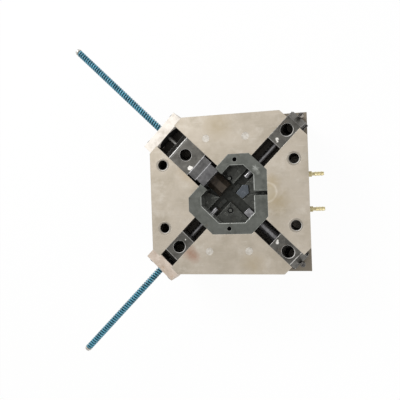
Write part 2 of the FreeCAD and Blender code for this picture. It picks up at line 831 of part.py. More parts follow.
buttons = []
for i, (x, y) in enumerate(stop_button_spots):
    buttons.append(
        cylinder(f"stop_button_{i}", S.stop_button_dia, S.stop_button_thick, x, y, Z_SPACER)
    )
node("stop_buttons", group("stop_buttons", buttons))

leaders = []
for i, (x, y) in enumerate(leader_spots):
    start = S.clamp_thick / 2
    length = Z_SUPPORT + S.support_thick / 2 - start
    leaders.append(cylinder(f"leader_{i}", S.leader_dia, length, x, y, start))
node("ejector_leader_pins", group("ejector_leader_pins", leaders))

nipples = []
for i, sign in enumerate((1, -1)):
    y = S.nipple_y * sign
    reach = S.nipple_reach
    thread = S.water_dia
    tail = cylinder(f"nipple_thread_{i}", thread, thread, half_length - thread, y, Z_WATER, "x")
    hexagon_part = hexagon(f"nipple_hex_{i}", thread * 0.8, reach * 0.2, half_length, y, Z_WATER, "x")
    stem_dia = S.nipple_bore + 3
    stem = cylinder(f"nipple_stem_{i}", stem_dia, reach, half_length, y, Z_WATER, "x")
    barbs = []
    for k in range(3):
        at = half_length + reach * (0.4 + 0.2 * k)
        barbs.append(
            cone(f"nipple_barb_{i}_{k}", stem_dia + 2.4, stem_dia, reach * 0.18, at, y, Z_WATER, "x")
        )
    body = fuse(f"nipple_body_{i}", [tail, hexagon_part, stem] + barbs)
    hole = cylinder(
        f"nipple_hole_{i}", S.nipple_bore, reach + thread, half_length - thread, y, Z_WATER, "x"
    )
    nipples.append(cut(f"nipple_{i}", body, hole))
node("hose_nipples", group("hose_nipples", nipples))

plug = cylinder("water_plug_body", S.water_dia, S.water_dia, S.water_turn, -half_width, Z_WATER, "y")
plug_hex = hexagon(
    "water_plug_hex", S.water_dia * 0.3, S.water_dia / 2, S.water_turn, -half_width, Z_WATER, "y"
)
node("water_plug", cut("water_plug", plug, plug_hex))

# ---- ejector assembly --------------------------------------------------------------------------------

ejector_half = S.ejector_wide / 2
clear_pillar = S.pillar_dia + 2 * S.pillar_gap
plate = plate_blank("ejector_plate", ejector_half, half_width, Z_EJECTOR, S.ejector_thick)
drill(plate, "ejector_pillar_holes", Z_RETAINER, pillar_spots, clear_pillar)
drill(plate, "ejector_leader_holes", Z_RETAINER, leader_spots, S.leader_bush_dia)
drill(plate, "ejector_knockout", Z_EJECTOR, [(0, 0)], S.knockout_thread, None, True)
drill(plate, "ejector_screw_holes", Z_RETAINER, plate_screw_spots, S.plate_screw_dia + 1)
head_deep = S.plate_screw_dia + 1
drill(plate, "ejector_screw_heads", Z_EJECTOR, plate_screw_spots, S.plate_head_dia + 2, head_deep, True)
node("ejector_plate", plate)

retainer = plate_blank("ejector_retainer_plate", ejector_half, half_width, Z_RETAINER, S.retainer_thick)
drill(retainer, "retainer_pillar_holes", Z_EJECTOR_TOP, pillar_spots, clear_pillar)
drill(retainer, "retainer_leader_holes", Z_EJECTOR_TOP, leader_spots, S.leader_bush_dia)
drill(retainer, "retainer_return_holes", Z_EJECTOR_TOP, return_spots, S.return_dia + 1)
head_deep = S.return_head_thick + S.fit
drill(retainer, "retainer_return_heads", Z_RETAINER, return_spots, S.return_head + 1, head_deep, True)
pin_spots = ejector_spots + [(runner_pin_x, as_size(0))]
drill(retainer, "retainer_ejector_holes", Z_EJECTOR_TOP, pin_spots, S.ejector_pin_dia + 1)
head_deep = S.ejector_head_thick + S.fit
drill(retainer, "retainer_ejector_heads", Z_RETAINER, pin_spots, S.ejector_head_dia + 1, head_deep, True)
drill(retainer, "retainer_screw_taps", Z_EJECTOR_TOP, plate_screw_spots, S.plate_screw_dia)
node("ejector_retainer_plate", retainer)


def headed_pins(name, spots, diameter, head, head_thick, top):
    pins = []
    for i, (x, y) in enumerate(spots):
        stem = cylinder(f"{name}_stem_{i}", diameter, top - Z_RETAINER, x, y, Z_RETAINER)
        foot = cylinder(f"{name}_head_{i}", head, head_thick, x, y, Z_RETAINER)
        pins.append(fuse(f"{name}_{i}", [stem, foot]))
    return node(name, group(name, pins))


headed_pins("return_pins", return_spots, S.return_dia, S.return_head, S.return_head_thick, Z_FACE)
headed_pins(
    "ejector_pins", ejector_spots, S.ejector_pin_dia, S.ejector_head_dia, S.ejector_head_thick, Z_SECTOR
)
headed_pins(
    "runner_ejector_pin",
    [(runner_pin_x, as_size(0))],
    S.ejector_pin_dia,
    S.ejector_head_dia,
    S.ejector_head_thick,
    Z_FACE - S.runner_deep,
)

leader_bushes = []
for i, (x, y) in enumerate(leader_spots):
    length = S.ejector_thick + S.retainer_thick
    sleeve = cylinder(f"leader_sleeve_{i}", S.leader_bush_dia, length, x, y, Z_EJECTOR)
    bore = cylinder(f"leader_bore_{i}", S.leader_dia + 2 * S.slide_play, length, x, y, Z_EJECTOR)
    leader_bushes.append(cut(f"leader_bush_{i}", sleeve, bore))
node("ejector_guide_bushes", group("ejector_guide_bushes", leader_bushes))

plate_screws = []
for i, (x, y) in enumerate(plate_screw_spots):
    seat_z = Z_EJECTOR + S.plate_screw_dia + 1
    length = Z_EJECTOR_TOP - seat_z - 2
    plate_screws.append(
        cap_screw(
            f"plate_screw_{i}", S.plate_screw_dia, S.plate_head_dia, length, x, y, seat_z, "z", -1
        )
    )
node("ejector_plate_screws", group("ejector_plate_screws", plate_screws))

return_springs = []
for i, (x, y) in enumerate(return_spots):
    length = Z_SUPPORT + S.spring_pocket_deep - Z_EJECTOR_TOP
    sleeve = cylinder(f"return_spring_out_{i}", S.return_spring_dia, length, x, y, Z_EJECTOR_TOP)
    bore = cylinder(f"return_spring_in_{i}", S.return_spring_bore, length, x, y, Z_EJECTOR_TOP)
    return_springs.append(cut(f"return_spring_{i}", sleeve, bore))
node("return_springs", group("return_springs", return_springs))

# ---- slides ------------------------------------------------------------------------------------------

FRONT = {"tl": S.tl_front, "tr": S.tr_front, "br": S.br_front, "bl": S.bl_front}
HOLE = {"tl": S.tl_hole, "tr": S.tr_hole, "br": S.br_hole, "bl": S.bl_hole}
BACK = {"tl": S.tl_back, "tr": S.tr_back, "br": S.br_back, "bl": S.bl_back}
play = S.slide_play

for corner, turn in TURN.items():
    slide = new_body(f"slide_{corner}", turn)
    half = CHANNEL[corner] / 2 - play
    wing = half + S.shoulder_wide
    wing_top = Z_CHANNEL + S.shoulder_high - play
    top = Z_FACE - S.fit
    end = BACK[corner] + S.heel_run
    section = new_sketch(slide, f"slide_{corner}_section", "YZ_Plane", level=FRONT[corner])
    add_outline(
        section,
        [
            (-wing, Z_CHANNEL),
            (wing, Z_CHANNEL),
            (wing, wing_top),
            (half, wing_top),
            (half, top),
            (-half, top),
            (-half, wing_top),
            (-wing, wing_top),
        ],
    )
    pad(slide, section, end - FRONT[corner])
    heel = new_sketch(slide, f"slide_{corner}_heel", "XZ_Plane")
    add_outline(heel, [(BACK[corner], top), (end, top - S.heel_drop), (end + 1, top), (end, top + 1)])
    pocket(slide, heel, None, both_ways=True)
    lean = Rotation(Vector(0, -1, 0), S.pin_angle.value)
    hole = new_sketch(slide, f"slide_{corner}_pin_hole", "XY_Plane", top, lean, (HOLE[corner], 0))
    bind(hole, "AttachmentOffset.Rotation.Angle", S.pin_angle)
    add_circle(hole, 0, 0, S.pin_hole_dia)
    pocket(slide, hole, None, both_ways=True)
    if corner != "tl":
        socket = new_sketch(slide, f"slide_{corner}_socket", "YZ_Plane", level=FRONT[corner])
        add_circle(socket, 0, Z_SECTOR, BAR_DIA[corner])
        pocket(slide, socket, S.bar_socket, reverse=True)
    if corner in ("tl", "bl"):
        rod_hole = new_sketch(slide, f"slide_{corner}_rod_hole", "YZ_Plane", level=end)
        add_circle(rod_hole, 0, Z_ROD, S.rod_dia)
        pocket(slide, rod_hole, S.rod_grip)
    node(f"slide_{corner}", slide)


def slab(name, corner, x0, x1, half, z0, z1):
    piece = new_body(name, TURN[corner])
    sketch = new_sketch(piece, name + "_outline", level=z0)
    add_outline(sketch, rectangle(x0, x1, -half, half))
    pad(piece, sketch, z1 - z0)
    return piece


insert_start = S.tl_front - S.insert_thick
top = Z_FACE - S.fit
nose_z = Z_CHANNEL + 0.5
insert = slab("slide_tl_insert", "tl", insert_start, S.tl_front, S.insert_wide / 2, nose_z, top)
node("slide_tl_insert", insert)
nose = slab("slide_tl_nose", "tl", S.nose_tip, insert_start, S.nose_wide / 2, nose_z, top)
node("slide_tl_nose", nose)

tl_core = new_body("slide_tl_core", TURN["tl"])
section = new_sketch(tl_core, "tl_core_section", "YZ_Plane", level=S.core_tip)
half = S.core_wide / 2
core_top = nose_z + S.core_high
add_outline(
    section,
    [
        (-half, nose_z),
        (half, nose_z),
        (half, core_top - S.core_round),
        (half - S.core_round, core_top),
        (S.core_round - half, core_top),
        (-half, core_top - S.core_round),
    ],
)
pad(tl_core, section, S.nose_tip - S.core_tip)
node("slide_tl_core", tl_core)

BAR_TIP = {"tr": S.bar_tip_tr, "br": S.bar_tip_br, "bl": S.bar_tip_bl}
for corner, dia in BAR_DIA.items():
    length = FRONT[corner] + S.bar_socket - BAR_TIP[corner]
    bar = cylinder(f"bar_{corner}", dia, length, BAR_TIP[corner], 0, Z_SECTOR, "x")
    if corner == "br":
        shoulder = cylinder("bar_br_shoulder", dia + 2, S.bar_step_br, S.bar_tip_br, 0, Z_SECTOR, "x")
        square = block(
            "bar_br_square",
            S.bar_tip_br - 1,
            -S.bar_step_br / 2,
            Z_SECTOR - S.bar_step_br / 2,
            S.bar_step_br + 2,
            S.bar_step_br,
            S.bar_step_br,
        )
        bar = cut("bar_br_stepped", bar, cut("bar_br_waste", shoulder, square))
    turned = group(f"slide_{corner}_core", [bar], TURN[corner])
    node(f"slide_{corner}_core", turned)

# ---- spring brackets, pull rods and springs of the two left slides -----------------------------------

for corner in ("tl", "bl"):
    turn = TURN[corner]
    flat = FLAT[corner]
    face = flat + S.bracket_thick
    half = BRACKET_WIDE[corner] / 2
    bracket = new_body(f"spring_bracket_{corner}", turn)
    sketch = new_sketch(bracket, f"bracket_{corner}_outline", level=Z_BRACKET)
    add_outline(sketch, rectangle(flat, face, -half, half))
    pad(bracket, sketch, S.bracket_high)
    tongue = new_sketch(bracket, f"bracket_{corner}_tongue", level=Z_CHANNEL + S.shoulder_high)
    key = CHANNEL[corner] / 2
    add_outline(tongue, rectangle(flat - TONGUE[corner], flat, -key, key))
    pad(bracket, tongue, S.channel_depth - S.shoulder_high)
    holes = new_sketch(bracket, f"bracket_{corner}_rod_bore", "YZ_Plane", level=face)
    add_circle(holes, 0, Z_ROD, S.rod_dia + 2 * play)
    pocket(bracket, holes)
    screws = new_sketch(bracket, f"bracket_{corner}_screw_holes", "YZ_Plane", level=face)
    for sign in (1, -1):
        add_circle(screws, bracket_screw_y[corner] * sign, Z_BRACKET_SCREW, S.plate_screw_dia + 1)
    pocket(bracket, screws)
    node(f"spring_bracket_{corner}", bracket)
    pair = []
    for i, sign in enumerate((1, -1)):
        y = bracket_screw_y[corner] * sign
        pair.append(
            cap_screw(
                f"bracket_screw_{corner}_{i}",
                S.plate_screw_dia,
                S.plate_head_dia,
                S.bracket_thick + tap_deep - 2,
                face,
                y,
                Z_BRACKET_SCREW,
                "x",
            )
        )
    node(f"bracket_screws_{corner}", group(f"bracket_screws_{corner}", pair, turn))
    end = BACK[corner] + S.heel_run
    washer_at = S.spring_end
    rod_start = end - S.rod_grip
    rod_length = washer_at + S.washer_thick - rod_start
    rod = cylinder(f"rod_stem_{corner}", S.rod_dia, rod_length, rod_start, 0, Z_ROD, "x")
    head_at = washer_at + S.washer_thick
    head = cylinder(f"rod_head_{corner}", S.rod_head_dia, S.rod_head_thick, head_at, 0, Z_ROD, "x")
    pull = group(f"pull_rod_{corner}", [fuse(f"pull_rod_solid_{corner}", [rod, head])], turn)
    node(f"pull_rod_{corner}", pull)
    disc = cylinder(
        f"washer_disc_{corner}", S.spring_dia, S.washer_thick, washer_at, 0, Z_ROD, "x"
    )
    eye = cylinder(f"washer_eye_{corner}", S.rod_dia + 0.4, S.washer_thick, washer_at, 0, Z_ROD, "x")
    node(
        f"spring_washer_{corner}",
        group(f"spring_washer_{corner}", [cut(f"washer_{corner}", disc, eye)], turn),
    )
    length = washer_at - face
    coil = cylinder(f"spring_out_{corner}", S.spring_dia, length, face, 0, Z_ROD, "x")
    core_hole = cylinder(f"spring_in_{corner}", S.spring_bore, length, face, 0, Z_ROD, "x")
    spring = group(f"slide_spring_{corner}", [cut(f"spring_{corner}", coil, core_hole)], turn)
    node(f"slide_spring_{corner}", spring)

# ---- checks and export -------------------------------------------------------------------------------

doc.recompute()
faults = [o.Name for o in doc.Objects if "Invalid" in o.State or "Error" in o.State]
if faults:
    raise SystemExit(f"objects that failed to build: {faults}")
for name, obj in nodes.items():
    if obj.Shape.isNull() or not obj.Shape.isValid() or not obj.Shape.Solids:
        raise SystemExit(f"{name} has no valid solid")

os.makedirs("parts", exist_ok=True)
for name, obj in nodes.items():
    obj.Shape.exportStep(os.path.join("parts", name + ".step"))
print(len(nodes), "nodes,", sum(len(o.Shape.Solids) for o in nodes.values()), "solids")
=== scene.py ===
"""Moving half of a four-slide injection mould: finishes, coiled springs, light and camera."""

import math

import bmesh
import bpy
from mathutils import Matrix, Vector


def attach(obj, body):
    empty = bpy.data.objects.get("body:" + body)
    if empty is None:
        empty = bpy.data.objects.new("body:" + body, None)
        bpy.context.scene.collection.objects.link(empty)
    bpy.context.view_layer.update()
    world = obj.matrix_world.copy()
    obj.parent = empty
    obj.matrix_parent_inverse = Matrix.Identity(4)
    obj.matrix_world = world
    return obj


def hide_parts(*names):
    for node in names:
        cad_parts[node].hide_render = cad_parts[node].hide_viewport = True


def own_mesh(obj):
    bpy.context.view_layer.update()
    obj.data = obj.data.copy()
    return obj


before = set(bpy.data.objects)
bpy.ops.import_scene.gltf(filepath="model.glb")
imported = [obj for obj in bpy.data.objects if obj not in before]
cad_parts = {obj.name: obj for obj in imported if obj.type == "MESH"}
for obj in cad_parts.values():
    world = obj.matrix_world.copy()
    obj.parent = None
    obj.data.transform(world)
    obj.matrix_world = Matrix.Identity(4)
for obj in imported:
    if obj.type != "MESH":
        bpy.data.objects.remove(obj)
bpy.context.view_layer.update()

MM = 0.001
PER_MM = 1000.0  # object coordinates are metres; patterns are sized in millimetres
PARTING_FACE = 270.0  # mm above the clamp face
PLATE_HALF = 200.0
SPECK_MM = 2.2  # handling specks, drawn coarser than they are so that they show
GRIND_MM = 3.0  # grinding marks, also drawn coarser than the wheel leaves them
CORNER_FLAT = 237.0  # mm along the diagonal to each cut corner
CORNER = {"tl": 135, "tr": 45, "br": -45, "bl": -135}  # direction of each slide, in degrees


# ---- small helpers ------------------------------------------------------------------------------------


def linear(code):
    """An sRGB hex colour as linear red, green, blue and alpha."""
    parts = [int(code[i : i + 2], 16) / 255 for i in (1, 3, 5)]
    flat = [c / 12.92 if c <= 0.04045 else ((c + 0.055) / 1.055) ** 2.4 for c in parts]
    return (*flat, 1.0)


def outward(corner, reach, side=0.0, height=0.0):
    """A point reach mm out along a slide's diagonal, side mm to its left, at a height in mm."""
    a = math.radians(CORNER[corner])
    x = reach * math.cos(a) - side * math.sin(a)
    y = reach * math.sin(a) + side * math.cos(a)
    return Vector((x, y, height)) * MM


def add(tree, kind, inputs=(), **settings):
    """Adds a shader node with its settings, fills or links its inputs, and returns it."""
    new = tree.nodes.new(kind)
    for key, value in settings.items():
        setattr(new, key, value)
    for socket, value in dict(inputs).items():
        if isinstance(value, bpy.types.NodeSocket):
            tree.links.new(value, new.inputs[socket])
        else:
            new.inputs[socket].default_value = value
    return new


def blank(name):
    """A new material with an empty principled shader, and its node tree."""
    finish = bpy.data.materials.new(name)
    finish.use_nodes = True
    tree = finish.node_tree
    shader = tree.nodes["Principled BSDF"]
    where = add(tree, "ShaderNodeTexCoord").outputs["Object"]
    place = add(tree, "ShaderNodeVectorMath", {0: where, 3: PER_MM}, operation="SCALE").outputs[0]
    return finish, tree, shader, place


def cloud(tree, place, size, low, high, detail=4.0, rough=0.6, stretch=(1, 1, 1)):
    """A soft mask from 0 to 1 in patches of about size mm."""
    spread = add(tree, "ShaderNodeMapping", {"Vector": place, "Scale": stretch}).outputs[0]
    noise = add(
        tree,
        "ShaderNodeTexNoise",
        {"Vector": spread, "Scale": 1 / size, "Detail": detail, "Roughness": rough},
    ).outputs["Fac"]
    return add(tree, "ShaderNodeMapRange", {0: noise, 1: low, 2: high}, clamp=True).outputs[0]


def paint(tree, base, coats):
    """Lays coats of colour on a base: each has a hex colour, a mask and a strength from 0 to 1."""
    colour = linear(base)
    for tint, mask, strength in coats:
        share = add(tree, "ShaderNodeMath", {0: mask, 1: strength}, operation="MULTIPLY").outputs[0]
        mixed = add(tree, "ShaderNodeMix", {0: share, 6: colour, 7: linear(tint)}, data_type="RGBA")
        colour = mixed.outputs[2]
    return colour


def spot(tree, place, centre, radius, ragged, soft=0.6):
    """A mask for a ragged round spot at a point in mm."""
    away = add(tree, "ShaderNodeVectorMath", {0: place, 1: centre}, operation="DISTANCE").outputs[1]
    grain = max(0.05, min(0.4, 2.0 / radius))
    noise = add(tree, "ShaderNodeTexNoise", {"Vector": place, "Scale": grain, "Detail": 3.0}).outputs[0]
    shift = add(tree, "ShaderNodeMath", {0: noise, 1: ragged}, operation="MULTIPLY").outputs[0]
    total = add(tree, "ShaderNodeMath", {0: away, 1: shift}, operation="ADD").outputs[0]
    edge = radius + ragged / 2
    return add(
        tree, "ShaderNodeMapRange", {0: total, 1: edge + soft, 2: edge - soft}, clamp=True
    ).outputs[0]


def worn_and_lit_edges(tree, width):
    """A bevelled normal, and a mask that is 1 where the steel turns a corner within width mm."""
    bevel = add(tree, "ShaderNodeBevel", {"Radius": width * MM}, samples=6).outputs[0]
    flat = add(tree, "ShaderNodeNewGeometry").outputs["True Normal"]
    same = add(tree, "ShaderNodeVectorMath", {0: bevel, 1: flat}, operation="DOT_PRODUCT").outputs[1]
    mask = add(tree, "ShaderNodeMapRange", {0: same, 1: 0.985, 2: 0.8}, clamp=True).outputs[0]
    return bevel, mask


def inside_corners(tree, place):
    """A mask that is 1 within the plate's outer faces, and 0 on them and on the corner ledges."""
    away = add(tree, "ShaderNodeVectorMath", {0: place}, operation="ABSOLUTE").outputs[0]
    axes = add(tree, "ShaderNodeSeparateXYZ", {0: away}).outputs
    total = add(tree, "ShaderNodeMath", {0: axes[0], 1: axes[1]}, operation="ADD").outputs[0]
    widest = add(tree, "ShaderNodeMath", {0: axes[0], 1: axes[1]}, operation="MAXIMUM").outputs[0]
    edge = CORNER_FLAT * math.sqrt(2) - 0.3
    cut = add(tree, "ShaderNodeMath", {0: total, 1: edge}, operation="LESS_THAN").outputs[0]
    side = add(tree, "ShaderNodeMath", {0: widest, 1: PLATE_HALF - 0.5}, operation="LESS_THAN").outputs[0]
    return add(tree, "ShaderNodeMath", {0: cut, 1: side}, operation="MULTIPLY").outputs[0]


def stroke(tree, place, start, end, width):
    """A mask for a straight line width mm wide between two points on a face, worn thin in places."""
    start, end = Vector(start[:2]), Vector(end[:2])
    middle, run = (start + end) / 2, (end - start).length
    along = (end - start).normalized()
    shifted = add(
        tree, "ShaderNodeVectorMath", {0: place, 1: (*middle, 0)}, operation="SUBTRACT"
    ).outputs[0]
    mask = cloud(tree, place, 7.0, 0.25, 0.5, 2.0)
    across_line = Vector((-along.y, along.x))
    for direction, reach, soft in ((along, run / 2, 1.5), (across_line, width / 2, 0.4)):
        dot = add(
            tree, "ShaderNodeVectorMath", {0: shifted, 1: (*direction, 0)}, operation="DOT_PRODUCT"
        ).outputs[1]
        far = add(tree, "ShaderNodeMath", {0: dot}, operation="ABSOLUTE").outputs[0]
        near = add(
            tree, "ShaderNodeMapRange", {0: far, 1: reach + soft, 2: reach - soft}, clamp=True
        ).outputs[0]
        mask = add(tree, "ShaderNodeMath", {0: mask, 1: near}, operation="MULTIPLY").outputs[0]
    return mask


def steel(name, base, deep, pale, edge, rough, patch=28.0, metallic=0.75, rust=None, lines=None,
          spots=(), bump=0.25, edge_mm=0.7, soft_spots=False, deep_below=None, ledge=None,
          strokes=()):
    """Tool steel: a ground or milled face, clouded by oil and handling, with bright corners that are
    partly wear and partly painted highlight.

    patch is the size of the clouds and edge_mm the width of the bright corners, both in mm. lines
    stretches the grinding marks along the axis with the small number. A spot is a colour, a place,
    a radius and how ragged it is; a stroke is a colour, two ends and a width. deep_below gives the
    height under which the steel is painted dark as shade, and the colour of that painted shade, and
    ledge the colour of the painted shade outside the channels there.
    """
    finish, tree, shader, place = blank(name)
    coats = [
        (deep, cloud(tree, place, patch, 0.42, 0.72), 1.0),
        (pale, cloud(tree, place, patch * 0.6, 0.52, 0.8, 6.0, 0.7), 1.0),
        (deep, cloud(tree, place, SPECK_MM, 0.6, 0.8, 2.0), 0.5),
    ]
    if rust:
        coats.append((rust, cloud(tree, place, patch * 1.4, 0.6, 0.78, 7.0, 0.65), 1.0))
    if lines:
        coats.append((pale, cloud(tree, place, GRIND_MM, 0.62, 0.74, 2.0, 0.5, lines), 0.6))
    for tint, centre, radius, ragged in spots:
        soft = 0.6
        if soft_spots:
            soft = 2.0 if ragged < 5 else radius * 0.8
        strength = 0.4 if soft_spots else 1.0
        coats.append((tint, spot(tree, place, centre, radius, ragged, soft), strength))
    # Painted shade: below the given height the steel is darkened, and outside the channels it takes the
    # ledge's shade colour.
    if deep_below:
        level, shade_colour = deep_below
        height = add(tree, "ShaderNodeSeparateXYZ", {0: place}).outputs[2]
        low = add(tree, "ShaderNodeMath", {0: height, 1: level}, operation="LESS_THAN").outputs[0]
        if ledge:
            coats.append((ledge, low, 0.8))
            inside = inside_corners(tree, place)
            low = add(tree, "ShaderNodeMath", {0: low, 1: inside}, operation="MULTIPLY").outputs[0]
        coats.append((shade_colour, low, 0.85))
    for tint, start, end, width in strokes:
        coats.append((tint, stroke(tree, place, start, end, width), 0.85))
    # Bright corners: partly wear and partly painted highlight.
    normal, corner = worn_and_lit_edges(tree, edge_mm)
    coats.append((edge, corner, 0.8))
    tree.links.new(paint(tree, base, coats), shader.inputs["Base Color"])
    tree.links.new(cloud_rough(tree, place, rough), shader.inputs["Roughness"])
    shader.inputs["Metallic"].default_value = metallic
    grit = add(tree, "ShaderNodeTexNoise", {"Vector": place, "Scale": 0.9, "Detail": 5.0}).outputs[0]
    relief = add(
        tree, "ShaderNodeBump", {"Strength": bump, "Distance": 0.00012, "Height": grit, "Normal": normal}
    )
    tree.links.new(relief.outputs[0], shader.inputs["Normal"])
    return finish


def enamel(name, base, deep, pale):
    """Sprayed enamel on spring wire: glossy, with darker and paler patches painted in, which stand partly
    for thin enamel and partly for shade and highlight, and chipped in places.
    """
    finish, tree, shader, place = blank(name)
    coats = [
        (deep, cloud(tree, place, 16.0, 0.45, 0.75), 1.0),
        (pale, cloud(tree, place, 5.0, 0.62, 0.82, 3.0), 1.0),
        (deep, cloud(tree, place, 1.6, 0.66, 0.76, 2.0), 0.7),
    ]
    tree.links.new(paint(tree, base, coats), shader.inputs["Base Color"])
    tree.links.new(cloud_rough(tree, place, 0.3), shader.inputs["Roughness"])
    shader.inputs["Coat Weight"].default_value = 0.4
    shader.inputs["Coat Roughness"].default_value = 0.2
    peel = add(tree, "ShaderNodeTexNoise", {"Vector": place, "Scale": 0.5, "Detail": 2.0}).outputs[0]
    relief = add(tree, "ShaderNodeBump", {"Strength": 0.2, "Distance": 0.0001, "Height": peel})
    tree.links.new(relief.outputs[0], shader.inputs["Normal"])
    return finish


def cloud_rough(tree, place, rough):
    """Roughness that varies a little over the face, as handling leaves it."""
    patch = cloud(tree, place, 14.0, 0.3, 0.7)
    return add(tree, "ShaderNodeMapRange", {0: patch, 3: rough - 0.07, 4: rough + 0.1}).outputs[0]


def in_mm(corner, reach, side=0.0, height=PARTING_FACE):
    """A point on a slide's diagonal in mm, on the parting face unless a height is given."""
    return tuple(outward(corner, reach, side, height) / MM)


# ---- finishes -----------------------------------------------------------------------------------------

# Ground mild-steel plate: pale and warm, with yellow oil stains and a little rust, and painted dark as
# shade in the channels and on its sides and corner ledges below the parting face.
plate_ground = steel(
    "ground plate steel", "#beb4a5", "#aaa08f", "#cdc5b9", "#e4ded5", 0.5,
    patch=60.0, metallic=0.6, lines=(0.06, 1.4, 1.0), soft_spots=True,
    deep_below=(269.0, "#35322f"), ledge="#7a7163", edge_mm=1.2, spots=[
        ("#f1ece2", (99, 2, 270), 25.0, 4.0),
        ("#94835c", (97, 1, 270), 22.5, 4.0),
        ("#8f4716", (-103, -143, 270), 14.0, 14.0),
        ("#8f4716", (-90, -156, 270), 11.0, 12.0),
        ("#a88d5c", (-92, 62, 270), 22.0, 26.0),
        ("#a08a58", (122, -22, 270), 22.0, 24.0),
        ("#a99364", (112, 26, 270), 14.0, 18.0),
        ("#9c8a64", (-20, 175, 270), 26.0, 26.0),
        ("#a3916c", (60, -176, 270), 22.0, 26.0),
    ],
)
# Milled plates of the box below: same steel, darker, with tool oil on it.
plate_milled = steel(
    "milled plate steel", "#a29b91", "#837c72", "#b9b2a8", "#d8d2c9", 0.48,
    patch=55.0, metallic=0.7, rust="#8a6a4c", lines=(1.2, 0.05, 0.6),
)
# The pocket's edges are broken by a small chamfer; its highlight is painted on as bright strokes,
# brightest to the right and at the bottom.
POCKET_EDGE_HIGHLIGHTS = [
    ("#b9bcb6", (8, 72.6), (42, 72.6), 1.2),
    ("#a9aca6", (42, 72.6), (67.6, 47), 1.2),
    ("#d6d9d4", (67.8, 47), (67.8, 8), 1.7),
    ("#d6d9d4", (67.8, -6), (67.8, -47.5), 1.7),
    ("#dfe1dc", (67.6, -47.6), (42.6, -72.6), 1.9),
    ("#c5c8c2", (42.5, -72.7), (-22.7, -72.7), 1.5),
    ("#cfd1cc", (-22.9, -72.5), (-67.5, -27.9), 1.6),
    ("#b0b3ad", (-67.7, -27.7), (-67.7, -4), 1.4),
    ("#8f928c", (67.8, 9), (99, 9), 1.2),
]
# Hardened cavity steel: greenish grey from the heat treatment, painted dark as shade below the parting
# face, with the pocket's chamfer highlights painted on.
cavity_hard = steel(
    "hardened cavity steel", "#6a6c67", "#535550", "#7b7d77", "#b9bab5", 0.38, patch=26.0,
    metallic=0.7, rust="#5f5242", lines=(0.5, 1.6, 1.0), edge_mm=1.8, soft_spots=True,
    deep_below=(268.8, "#2c2d2a"),
    spots=[("#c9cbc4", (72, 60, 270), 5.0, 9.0), ("#b4b6af", (78, 50, 270), 4.0, 8.0)],
    strokes=POCKET_EDGE_HIGHLIGHTS + [
        ("#c4c7c1", (66, 68), (80, 56), 1.0),
        ("#b5b8b2", (72, 70), (76, 54), 0.9),
        ("#b5b8b2", (64, 60), (82, 62), 0.9),
    ],
)
# Hardened block steel: darker than the frame, with painted highlights along some cut edges and painted
# shade in the groove round each eye pin.
EYE_PIN = ((0, 41.5), (0, -41.5))
EYE_SHADE_RIM = 9.2
block_hard = steel(
    "hardened block steel", "#4f504c", "#393a37", "#63645f", "#a8a9a4", 0.34, patch=16.0,
    metallic=0.75, rust="#4f4436", lines=(0.7, 0.7, 1.0), edge_mm=1.5,
    spots=[("#0f0f0e", (*centre, 226), EYE_SHADE_RIM, 0.8) for centre in EYE_PIN],
    strokes=[
        ("#0b0b0a", (0, -33), (0, -12), 2.4),
        ("#b4b7b1", (34, -38), (52, -56), 1.2),
        ("#9da09a", (-46, -6), (-20, -6), 1.2),
        ("#8c8f89", (10, 30), (30, 50), 1.0),
    ],
)
# Milled floor steel at the bottom of the channels: painted nearly black as shade.
base_dark = steel(
    "cavity floor steel", "#3a3b38", "#272825", "#4d4e4a", "#8c8c86", 0.42, patch=12.0, metallic=0.8,
    rust="#59452f",
)
# Polished gate steel: bluish and smooth, so it mirrors the room.
gate_bright = steel(
    "polished gate steel", "#646a71", "#555a60", "#8d9299", "#d4d7da", 0.26, patch=14.0, metallic=0.85,
)
# Ground nose steel: an even mid grey with fine marks along the travel.
nose_steel = steel(
    "ground nose steel", "#6f6e6f", "#565556", "#8a8889", "#e6e5e8", 0.32, patch=18.0, metallic=0.8,
    lines=(1.4, 0.08, 1.0),
)
# Ground insert steel: a little darker, with painted highlights along its two end edges.
insert_steel = steel(
    "ground insert steel", "#676665", "#4b4a4a", "#807e7d", "#dddcdf", 0.34, patch=18.0, metallic=0.8,
    rust="#6b5647", edge_mm=1.4, strokes=[
        ("#c9c8ca", in_mm("tl", 84.9, -29), in_mm("tl", 84.9, 29), 1.3),
        ("#bab9bb", in_mm("tl", 108.2, -29), in_mm("tl", 108.2, 29), 1.2),
    ],
)
# Milled core steel that has rusted: dull brown and rough.
core_rusty = steel(
    "rusted core steel", "#40382f", "#2b2520", "#5a5048", "#857c72", 0.46, patch=9.0, metallic=0.6,
    rust="#5e4331", bump=0.5,
)
# Turned and polished core bars: light grey with a clear highlight.
core_bright = steel(
    "turned core steel", "#9a999b", "#6f6e70", "#b9b8ba", "#e8e8e9", 0.28, patch=12.0, metallic=0.85,
)
# Turned eye pins: plain grey heads in dark grooves.
eye_steel = steel(
    "turned pin steel", "#6a6b66", "#4a4b47", "#868781", "#c9cac5", 0.3, patch=6.0, metallic=0.85,
)
# Cold-drawn rod: silvery near the slide, painted dark as shade along the length inside its spring.
rod_steel = steel(
    "drawn rod steel", "#b4b2ae", "#8f8d88", "#d0cec9", "#eeece8", 0.3, patch=25.0, metallic=0.8,
    spots=[
        ("#1c2b31", in_mm("tl", 410.0, 0, 236), 164.0, 0.5),
        ("#1c2b31", in_mm("bl", 418.0, 0, 236), 156.0, 0.5),
    ],
)
# Centreless-ground guide pins: pale and smooth.
pin_steel = steel(
    "ground pin steel", "#c9c4bb", "#a9a49b", "#dcd8d0", "#f0ede7", 0.28, patch=16.0, metallic=0.7,
)
